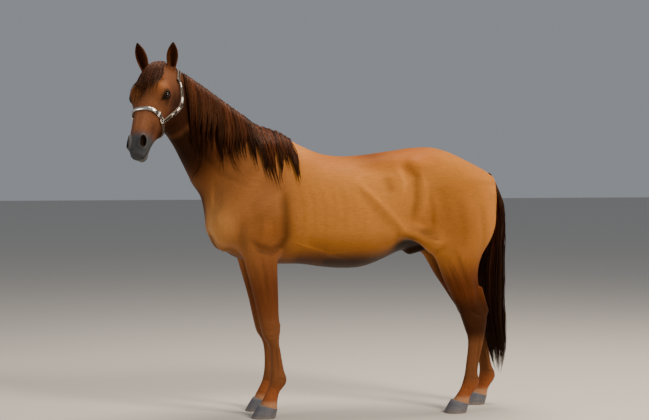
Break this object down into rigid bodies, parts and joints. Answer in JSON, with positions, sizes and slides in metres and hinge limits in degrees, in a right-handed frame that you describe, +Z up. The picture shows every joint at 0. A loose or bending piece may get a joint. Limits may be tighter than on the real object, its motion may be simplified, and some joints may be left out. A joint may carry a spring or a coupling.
{
  "type": "horse",
  "caption": "Life-size standing horse, a chestnut stallion with its head turned to its left, dark mane and tail, wearing a leather halter.",
  "frame": {"origin": "on the floor, under the middle of the whole horse's bounding box", "axes": "+Z up, -X the way the horse faces, -Y its left side, towards which the head is turned"},
  "size_m": [2.1186, 0.8958, 1.9571],
  "materials": {
    "body_coat": "short glossy hair",
    "leg_coat": "short glossy hair",
    "hoof_horn": "ridged horn",
    "eye_glass": "wet gloss",
    "mane_hair": "long silky hair",
    "tail_hair": "long coarse hair",
    "halter_leather": "polished",
    "halter_silver": "polished"
  },
  "bodies": {
    "root": {"trunk": "body_coat", "neck": "body_coat", "head": "body_coat", "ear_left": "body_coat", "ear_right": "body_coat", "fore_leg_left": "leg_coat", "fore_leg_right": "leg_coat", "hind_leg_left": "leg_coat", "hind_leg_right": "leg_coat", "fore_hoof_left": "hoof_horn", "fore_hoof_right": "hoof_horn", "hind_hoof_left": "hoof_horn", "hind_hoof_right": "hoof_horn", "eye_left": "eye_glass", "eye_right": "eye_glass", "mane": "mane_hair", "forelock": "mane_hair", "tail": "tail_hair", "noseband": "halter_leather", "chin_strap": "halter_leather", "crown_strap": "halter_leather", "cheek_strap_left": "halter_leather", "cheek_strap_right": "halter_leather", "noseband_plate": "halter_silver", "cheek_ring_left": "halter_silver", "cheek_ring_right": "halter_silver", "front_plate_left": "halter_silver", "middle_plate_left": "halter_silver", "back_plate_left": "halter_silver", "top_plate_left": "halter_silver", "front_plate_right": "halter_silver", "middle_plate_right": "halter_silver", "back_plate_right": "halter_silver", "top_plate_right": "halter_silver"}
  },
  "joints": []
}
